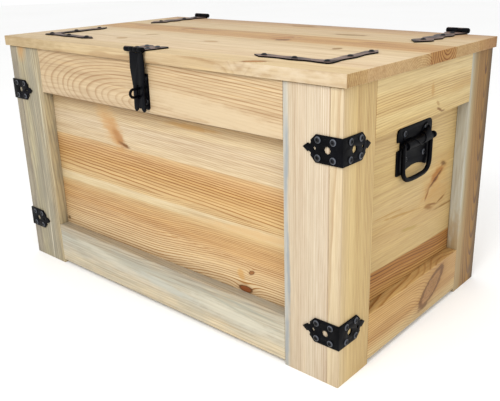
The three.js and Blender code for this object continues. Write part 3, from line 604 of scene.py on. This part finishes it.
               Knot((-155, -55), (12, 5), 30, "987a44", 0.85, rim="84683a"),
               Knot((258, -38), (6, 9), 0, "8a6a36", 0.85, rim="755627"),
               Knot((-160, -125), (10, 8), 0, "a38450", 0.75, rim="8e7040"),
               Knot((48, 231), (11, 5), 0, "7d6440", 0.7, rim="5c4424")],
        seed=21),
    "lid_batten_left": Pine(
        "y", "x",
        bands=[(-260, "c6ab7d", 0.6), (-230, "cbb388", 0.5), (-200, "c4a878", 0.7)],
        staves=[Stave(heart=(80, -235), depth=12, rise=0.07, spacing=4.4, wave=8)],
        seed=22),
    "lid_batten_right": Pine(
        "y", "x",
        bands=[(200, "c9b085", 0.5), (230, "c3a676", 0.7), (260, "cab287", 0.5)],
        staves=[Stave(heart=(-120, 228), depth=10, rise=0.07, spacing=4.4, wave=8)],
        seed=23),
    "front_floor_cleat": Pine(
        "x", "z",
        bands=[(12, "c2a678", 0.6), (32, "c6ab7e", 0.6)],
        staves=[Stave(heart=(0, 40), depth=60, rise=0.02, spacing=4.2, wave=8)],
        seed=24),
    "rear_floor_cleat": Pine(
        "x", "z",
        bands=[(12, "c5ab7f", 0.6), (32, "c1a474", 0.6)],
        staves=[Stave(heart=(100, -20), depth=60, rise=0.02, spacing=4.2, wave=8)],
        seed=25),
    "bottom_board": Pine(
        "x", "y",
        bands=[(-180, "c7ad80", 0.6), (-101, "c9b086", 0.5), (-99, "bf9f6d", 0.8), (-11, "c3a474", 0.7),
               (-9, "cbb48b", 0.5), (89, "c8ae83", 0.6), (91, "c2a373", 0.7), (200, "c5a87a", 0.7)],
        staves=[Stave(-1000, heart=(-100, -150), depth=18, rise=0.05, spacing=4.6, wave=12),
                Stave(-100, heart=(200, -60), depth=14, rise=-0.05, spacing=4.8, wave=12),
                Stave(-10, heart=(-200, 40), depth=20, rise=0.04, spacing=4.6, wave=12),
                Stave(90, heart=(100, 150), depth=16, rise=0.05, spacing=4.8, wave=12)],
        marks=[Knot((-180, -140), (13, 9), 0, "80492a", 0.9),
               Knot((120, 20), (12, 8), 10, "84522f", 0.85),
               Knot((40, 140), (10, 7), 0, "7d4a2c", 0.85)],
        seed=26),
}


def build_wood():
    """Gives every board its own pine and rounds its edges."""
    for name, spec in BOARDS.items():
        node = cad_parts[name]
        node.data.materials.clear()
        node.data.materials.append(pine(name, spec))
        smooth_shading(node, width=0.7, segments=3)


# ---- Black steel ---------------------------------------------------------------------------------

SCUFF_COLOUR = "3c3f4a"
# colour of the painted sheen on the fittings' faces that look up
TOP_SHEEN_COLOUR = "7d685e"
ON_LID = ("lid_corner_plate", "hinge_strap", "hasp_lid_leaf")  # how the names of the fittings with a painted sheen on their tops start


def black_steel(name, dark, light, roughness, shine, top_sheen=0.0):
    """Powder-coated steel: uneven gloss, a fine orange-peel surface and faint scuffs.

    The last argument is how much painted sheen, a brownish grey that stands in for the light the tops
    catch, lightens the faces that look up."""
    material, shader, point, normal = new_material(name)
    at = combine(*point)
    cloud = noise(at, scale=40, detail=3)
    peel = noise(at, scale=1300)
    scuff = noise(combine(point[0] * 260, point[1] * 260, point[2] * 90), detail=4, roughness=0.7)
    colour = blend(cloud.ramp(0.35, 0.7), srgb(dark), srgb(light))
    colour = blend(scuff.ramp(0.6, 0.78) * 0.12, colour, srgb(SCUFF_COLOUR))
    # Painted sheen: faces that look up are lightened in clouds, as if they caught the light.
    if top_sheen:
        sheen_share = normal[2].ramp(0.7, 0.98) * cloud.ramp(0.2, 0.75) * top_sheen
        colour = blend(sheen_share, colour, srgb(TOP_SHEEN_COLOUR))
    feed(colour.nodes, shader.inputs["Base Color"], colour)
    feed(colour.nodes, shader.inputs["Roughness"], cloud * 0.18 + peel * 0.12 + roughness)
    shader.inputs["Specular IOR Level"].default_value = shine
    add_bump(shader, peel, distance=0.0001, strength=0.3)
    return material


# Sizes and places of the modelled pieces are in mm.

# Radius and height of a washer-head screw, from the shank's end to the rim of its cross recess.
SCREW_PROFILE = [(2.1, -2.2), (2.1, 0), (4.6, 0), (4.95, 0.3), (4.85, 0.75), (4.1, 1.05),
                 (3.75, 1.3), (3.5, 1.85), (2.9, 2.25)]
SCREW_HIGHLIGHT_BANDS = (4, 5, 6)  # the stretches of the profile that take a painted highlight
CROSS_ARM = 2.0
CROSS_HALF_WIDTH = 0.55
CROSS_TOP = 2.4
CROSS_FLOOR = 1.0
CROSS_TAPER = 0.8  # size of the recess at its floor, as a share of its size at the top
FIRST_TURN, NEXT_TURN = 0.6, 1.1  # how far the first screw of a group is turned, and each one more
SHARP_EDGE = math.radians(35)  # modelled pieces are shaded smooth below this angle

# The faces that the screws sit on.
FRONT_FITTING_Y = -221.3
SIDE_FITTING_X = 395.3
LID_FITTING_Z = 462.3
REAR_LEAF_Y = 241.3
PLATE_FACE_X = 375.0


def add_skin(shape, rings, bright=()):
    """Faces between rings of vertices, closed at both ends. Those after the rings in bright take
    the second material."""
    for level, (first, second) in enumerate(zip(rings, rings[1:])):
        for i in range(len(first)):
            j = (i + 1) % len(first)
            face = shape.faces.new((first[i], first[j], second[j], second[i]))
            face.material_index = int(level in bright)
    shape.faces.new(rings[0])
    shape.faces.new(rings[-1])


def cross_reach(angle):
    """Distance from a screw's middle to the edge of its cross recess."""
    off = abs((angle + math.pi / 4) % (math.pi / 2) - math.pi / 4)
    return min(CROSS_ARM / math.cos(off), CROSS_HALF_WIDTH / max(math.sin(off), 1e-6))


def screw_angles():
    """Angles of a screw's vertices, with one at every corner of the cross."""
    corner = math.atan2(CROSS_HALF_WIDTH, CROSS_ARM)
    middle = math.pi / 4
    quarter = [0, corner, (corner + middle) / 2, middle]
    quarter += [2 * middle - quarter[2], 2 * middle - corner]
    return [q + turn * math.pi / 2 for turn in range(4) for q in quarter]


def add_screw(shape, place, direction, turn):
    """A washer-head screw at a place in metres, turned about its axis."""
    angles = screw_angles()
    rings = [[(r, h)] * len(angles) for r, h in SCREW_PROFILE]
    rings.append([(cross_reach(a), CROSS_TOP) for a in angles])
    rings.append([(cross_reach(a) * CROSS_TAPER, CROSS_FLOOR) for a in angles])
    facing = Vector(direction).to_track_quat("Z", "Y").to_matrix().to_4x4()
    placed = Matrix.Translation(place) @ facing @ Matrix.Rotation(turn, 4, "Z")
    made = []
    for ring in rings:
        corners = [(r * math.cos(a), r * math.sin(a), h) for a, (r, h) in zip(angles, ring)]
        made.append([shape.verts.new(placed @ (Vector(corner) * MM)) for corner in corners])
    add_skin(shape, made, SCREW_HIGHLIGHT_BANDS)


def finish_piece(name, shape, materials, body):
    """Makes a mesh object of a shape, smooth except across sharp edges, and puts it on a body."""
    bmesh.ops.recalc_face_normals(shape, faces=shape.faces)
    for face in shape.faces:
        face.smooth = True
    for edge in shape.edges:
        edge.smooth = edge.calc_face_angle(0.0) < SHARP_EDGE
    mesh = bpy.data.meshes.new(name)
    shape.to_mesh(mesh)
    shape.free()
    for material in materials:
        mesh.materials.append(material)
    piece = bpy.data.objects.new(name, mesh)
    bpy.context.scene.collection.objects.link(piece)
    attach(piece, body)


def add_screws(name, places, direction, body, materials, mirror=False):
    """Screws at places in mm, all facing one way. mirror puts them on the chest's left."""
    shape = bmesh.new()
    side = -1 if mirror else 1
    way = Vector((direction[0] * side, direction[1], direction[2]))
    for i, (x, y, z) in enumerate(places):
        add_screw(shape, Vector((x * side, y, z)) * MM, way, FIRST_TURN + NEXT_TURN * i)
    finish_piece(name, shape, materials, body)


def build_screws(materials):
    """The screws of every fitting. materials are their coat and the painted highlight on their rim."""
    plain = materials[:1] * 2
    for side, mirror in (("right", False), ("left", True)):
        for level, height in (("lower", 84), ("upper", 357.5)):
            rows = (height - 12.3, height + 12.3)
            front = [(x, FRONT_FITTING_Y, z) for x in (380, 355.5) for z in rows]
            flank = [(SIDE_FITTING_X, y, z) for y in (-203.6, -179.1) for z in rows]
            name = f"screws_bracket_{side}_{level}"
            add_screws(f"{name}_front", front, (0, -1, 0), "chest_body", materials, mirror)
            add_screws(f"{name}_side", flank, (1, 0, 0), "chest_body", materials, mirror)
        corner = [(x, -162.5, LID_FITTING_Z) for x in (327.6, 271.6, 215.6)]
        corner += [(327.6, y, LID_FITTING_Z) for y in (-106.5, -50.5)]
        strap = [(324, y, LID_FITTING_Z) for y in (115, 186, 222)]
        add_screws(f"screws_corner_plate_{side}", corner, (0, 0, 1), "lid", plain, mirror)
        add_screws(f"screws_hinge_{side}", strap, (0, 0, 1), "lid", plain, mirror)
        rear = [(x, REAR_LEAF_Y, z) for x in (312, 336) for z in (424.8, 435.8)]
        add_screws(f"screws_rear_leaf_{side}", rear, (0, 1, 0), "chest_body", materials, mirror)
        handle = [(PLATE_FACE_X, y, 339) for y in (-23.6, 42.4)]
        handle += [(PLATE_FACE_X, y, 297) for y in (-19.6, 38.4)]
        add_screws(f"screws_handle_{side}", handle, (1, 0, 0), "chest_body", materials, mirror)
    leaf = [(x, y, LID_FITTING_Z) for x in (-11.4, 14.6) for y in (-211.3, -190.3)]
    add_screws("screws_hasp_leaf", leaf, (0, 0, 1), "lid", materials)
    staple = [(x, FRONT_FITTING_Y, z) for x in (-3.45, 15.05) for z in (379, 417)]
    add_screws("screws_staple_plate", staple, (0, -1, 0), "chest_body", plain)


# The pressed housing over each handle's axle: half an oval in section, and flared at its rear end.
AXLE_Z = 322
HANDLE_MIDDLE_Y = 9.4
HOUSING_HALF = 37.6  # half its length
HOUSING_OUT = 12.3  # how far it stands out
HOUSING_LOW = 8.5  # how far it reaches below the axle
HOUSING_HIGH = 7.4  # and above it
HOUSING_FLARE = 11.0  # how much higher its rear end reaches
FLARE_START = 0.2
FLARE_POWER = 1.6
FLARE_FLATTER = 3.0  # how much less its rear end stands out
HOUSING_SUNK = 0.4  # how far its rim lies in the plate
HOUSING_LIFT = 0.2  # how far its bulge starts above the plate
HOUSING_ROUND = 0.8  # below 1, its section is fuller than an oval
HOUSING_STEPS = 36  # along it
HOUSING_AROUND = 18  # over it


def housing_section(along):
    """Upward reach and height of the housing, from its front end at -1 to its rear end at 1."""
    flare = max(0.0, (along - FLARE_START) / (1 - FLARE_START)) ** FLARE_POWER
    return HOUSING_HIGH + HOUSING_FLARE * flare, HOUSING_OUT - FLARE_FLATTER * flare


def housing_x(out, angle):
    """X of the housing's surface, at an angle up or down from its crest."""
    return PLATE_FACE_X + HOUSING_LIFT + out * math.cos(angle) ** HOUSING_ROUND


def add_housing(side, materials):
    """The housing of one handle, as half ovals in a row from its front end to its rear end."""
    sign = 1 if side == "right" else -1
    shape = bmesh.new()
    rows = []
    for i in range(HOUSING_STEPS + 1):
        along = 2 * i / HOUSING_STEPS - 1
        high, out = housing_section(along)
        rim_x = PLATE_FACE_X - HOUSING_SUNK
        row = [(rim_x, AXLE_Z + high), (rim_x, AXLE_Z - HOUSING_LOW)]
        for j in range(HOUSING_AROUND + 1):
            angle = math.pi * (j / HOUSING_AROUND - 0.5)
            reach = high if angle > 0 else HOUSING_LOW
            row.append((housing_x(out, angle), AXLE_Z + reach * math.sin(angle)))
        y = HANDLE_MIDDLE_Y + HOUSING_HALF * along
        rows.append([shape.verts.new(Vector((sign * x, y, z)) * MM) for x, z in row])
    add_skin(shape, rows)
    finish_piece(f"handle_{side}_housing", shape, materials, "chest_body")


# The rib pressed across the housing: its middle line, along the housing from -1 to 1 and in z.
RIB_LINE = [(-1.0, 331.5), (-0.75, 331.5), (-0.5, 330.0), (-0.32, 324.5), (-0.12, 319.0),
            (0.1, 318.5), (0.3, 322.0), (0.47, 329.0), (0.62, 337.0), (0.8, 342.0), (1.0, 343.5)]
RIB_RADIUS = 1.5
RIB_SIDES = 10
RIB_STEPS = 5  # between two points of its middle line
RIB_INSET = 0.4  # how far inside each end of the housing it stops


def rib_out(along, z):
    """X of the surface that the rib lies on."""
    high, out = housing_section(along)
    reach = high if z > AXLE_Z else HOUSING_LOW
    share = min(1.0, abs(z - AXLE_Z) / reach)
    return housing_x(out, math.asin(share))


def smooth_line(stops, steps):
    """Points on a smooth curve through all the stops."""
    line = []
    for i in range(len(stops) - 1):
        a, b, c, d = (Vector(stops[min(max(k, 0), len(stops) - 1)]) for k in range(i - 1, i + 3))
        for step in range(steps):
            t = step / steps
            line.append(0.5 * (2 * b + (c - a) * t + (2 * a - 5 * b + 4 * c - d) * t * t
                               + (3 * b - a - 3 * c + d) * t ** 3))
    return line + [Vector(stops[-1])]


def add_rib(side, materials):
    """A round rib half sunk in one handle's housing."""
    sign = 1 if side == "right" else -1
    shape = bmesh.new()
    spots = []
    for along, z in smooth_line(RIB_LINE, RIB_STEPS):
        y = HANDLE_MIDDLE_Y + (HOUSING_HALF - RIB_INSET) * along
        spots.append(Vector((sign * rib_out(along, z), y, z)))
    turns = [2 * math.pi * k / RIB_SIDES for k in range(RIB_SIDES)]
    rings = []
    for i, spot in enumerate(spots):
        ahead = (spots[min(i + 1, len(spots) - 1)] - spots[max(i - 1, 0)]).normalized()
        flat = ahead.cross(Vector((1, 0, 0))).normalized()
        out = flat.cross(ahead)
        ring = [spot + RIB_RADIUS * (flat * math.cos(a) + out * math.sin(a)) for a in turns]
        rings.append([shape.verts.new(corner * MM) for corner in ring])
    add_skin(shape, rings)
    finish_piece(f"handle_{side}_rib", shape, materials, "chest_body")


WELD_DISTANCE = 1e-5
FLAT_ANGLE = math.radians(0.5)  # faces that meet at less are one flat face
ROUNDED_ANGLE = math.radians(48)  # edges sharper than this are rounded


def smooth_shading(node, width, segments, sharp=32):
    """Rounds a CAD node's edges by width in mm, with modifiers, and shades its curves smooth.

    sharp is the angle in degrees from which an edge stays sharp in the shading."""
    weld = node.modifiers.new("weld", "WELD")
    weld.merge_threshold = WELD_DISTANCE
    clean = node.modifiers.new("flats", "DECIMATE")
    clean.decimate_type = "DISSOLVE"
    clean.angle_limit = FLAT_ANGLE
    bevel = node.modifiers.new("rounding", "BEVEL")
    bevel.width = width * MM
    bevel.segments = segments
    bevel.limit_method = "ANGLE"
    bevel.angle_limit = ROUNDED_ANGLE
    bevel.miter_outer = "MITER_ARC"
    shading = node.modifiers.new("shading", "NODES")
    shading.node_group = shading_group(sharp)


def shading_group(sharp):
    """Geometry nodes that shade smooth, apart from edges over an angle in degrees."""
    name = f"shade_{sharp}"
    if name in bpy.data.node_groups:
        return bpy.data.node_groups[name]
    group = bpy.data.node_groups.new(name, "GeometryNodeTree")
    group.interface.new_socket("Geometry", in_out="INPUT", socket_type="NodeSocketGeometry")
    group.interface.new_socket("Geometry", in_out="OUTPUT", socket_type="NodeSocketGeometry")
    make, link = group.nodes.new, group.links.new
    start, end = make("NodeGroupInput"), make("NodeGroupOutput")
    # The CAD node's own normals would win over the shading that is set here.
    plain = make("GeometryNodeRemoveAttribute")
    plain.inputs["Name"].default_value = "custom_normal"
    faces, edges = make("GeometryNodeSetShadeSmooth"), make("GeometryNodeSetShadeSmooth")
    faces.domain, edges.domain = "FACE", "EDGE"
    angle = make("GeometryNodeInputMeshEdgeAngle")
    test = make("FunctionNodeCompare")
    test.operation = "LESS_THAN"
    test.inputs["B"].default_value = math.radians(sharp)
    link(start.outputs[0], plain.inputs["Geometry"])
    link(plain.outputs[0], faces.inputs["Geometry"])
    link(faces.outputs[0], edges.inputs["Geometry"])
    link(angle.outputs["Unsigned Angle"], test.inputs["A"])
    link(test.outputs[0], edges.inputs["Shade Smooth"])
    link(edges.outputs[0], end.inputs[0])
    return group


def build_steel():
    """Black steel for every CAD node that isn't a board, and the screws, housings and ribs."""
    coat = {"dark": "010103", "light": "05060b", "roughness": 0.32, "shine": 0.06}
    steel = black_steel("powder_coat", **coat)
    # The lid's fittings get a painted sheen on their tops.
    lid_steel = black_steel("powder_coat_lid", top_sheen=1.0, **coat)
    # The screw rims' light grey is a painted highlight: a bright ring where the rounded rim catches the
    # light.
    rim = black_steel("screw_rim_highlight", dark="383b42", light="4c5058", roughness=0.2, shine=0.35)
    head = black_steel("screw_coat", dark="0a0a0d", light="15161b", roughness=0.25, shine=0.2)
    for name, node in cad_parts.items():
        if name in BOARDS:
            continue
        node.data.materials.clear()
        node.data.materials.append(lid_steel if name.startswith(ON_LID) else steel)
        smooth_shading(node, width=0.45, segments=2, sharp=40)
    build_screws((head, rim))
    for side in ("left", "right"):
        add_housing(side, (steel,))
        add_rib(side, (steel,))


# ---- Light, floor and camera ---------------------------------------------------------------------

WHITE = (1.0, 1.0, 1.0, 1.0)
FLOOR_RADIUS = 9.0
LAMP_SIZE = 0.9

# The camera, fitted to the chest's straight edges in the photograph.
CAMERA_PLACE = (0.85383, -0.90862, 0.59996)
CAMERA_TURN = (70.400, 1.133, 40.492)  # degrees
CAMERA_LENS = 48.147  # mm
CAMERA_SHIFT = (-0.0256, -0.0166)


def add_area_light(name, place, target, power, colour):
    """A round lamp that faces a target, with its power in watts."""
    light = bpy.data.lights.new(name, "AREA")
    light.shape = "DISK"
    light.size = LAMP_SIZE
    light.energy = power
    light.color = colour
    holder = bpy.data.objects.new(name, light)
    holder.location = place
    holder.rotation_euler = (Vector(target) - Vector(place)).to_track_quat("-Z", "Y").to_euler()
    bpy.context.scene.collection.objects.link(holder)


def build_studio():
    """White surroundings, two lamps and a pale floor."""
    scene = bpy.context.scene
    scene.view_settings.view_transform = "Standard"
    world = bpy.data.worlds.new("studio")
    world.use_nodes = True
    background = world.node_tree.nodes["Background"]
    background.inputs["Color"].default_value = WHITE
    background.inputs["Strength"].default_value = 1.0
    scene.world = world
    add_area_light("key", place=(0.55, -1.55, 1.6), target=(0.05, 0, 0.25), power=22,
                   colour=(1.0, 0.992, 0.98))
    add_area_light("side", place=(1.7, -0.95, 1.1), target=(0.2, 0, 0.25), power=5,
                   colour=(1.0, 0.985, 0.96))

    floor_mesh = bpy.data.meshes.new("floor")
    shape = bmesh.new()
    bmesh.ops.create_circle(shape, cap_ends=True, segments=96, radius=FLOOR_RADIUS)
    shape.to_mesh(floor_mesh)
    shape.free()
    floor = bpy.data.objects.new("floor", floor_mesh)
    scene.collection.objects.link(floor)
    material, shader, point, _ = new_material("studio_floor")
    cloud = noise(combine(*point), scale=1.3)
    feed(cloud.nodes, shader.inputs["Base Color"], blend(cloud, srgb("fbfbfb"), srgb("f7f7f6")))
    shader.inputs["Roughness"].default_value = 0.9
    floor_mesh.materials.append(material)


def build_camera():
    """A camera with the photograph's view."""
    data = bpy.data.cameras.new("camera")
    data.lens = CAMERA_LENS
    data.shift_x, data.shift_y = CAMERA_SHIFT
    camera = bpy.data.objects.new("camera", data)
    camera.location = CAMERA_PLACE
    camera.rotation_euler = [math.radians(a) for a in CAMERA_TURN]
    bpy.context.scene.collection.objects.link(camera)
    bpy.context.scene.camera = camera


build_camera()
build_studio()
build_wood()
build_steel()
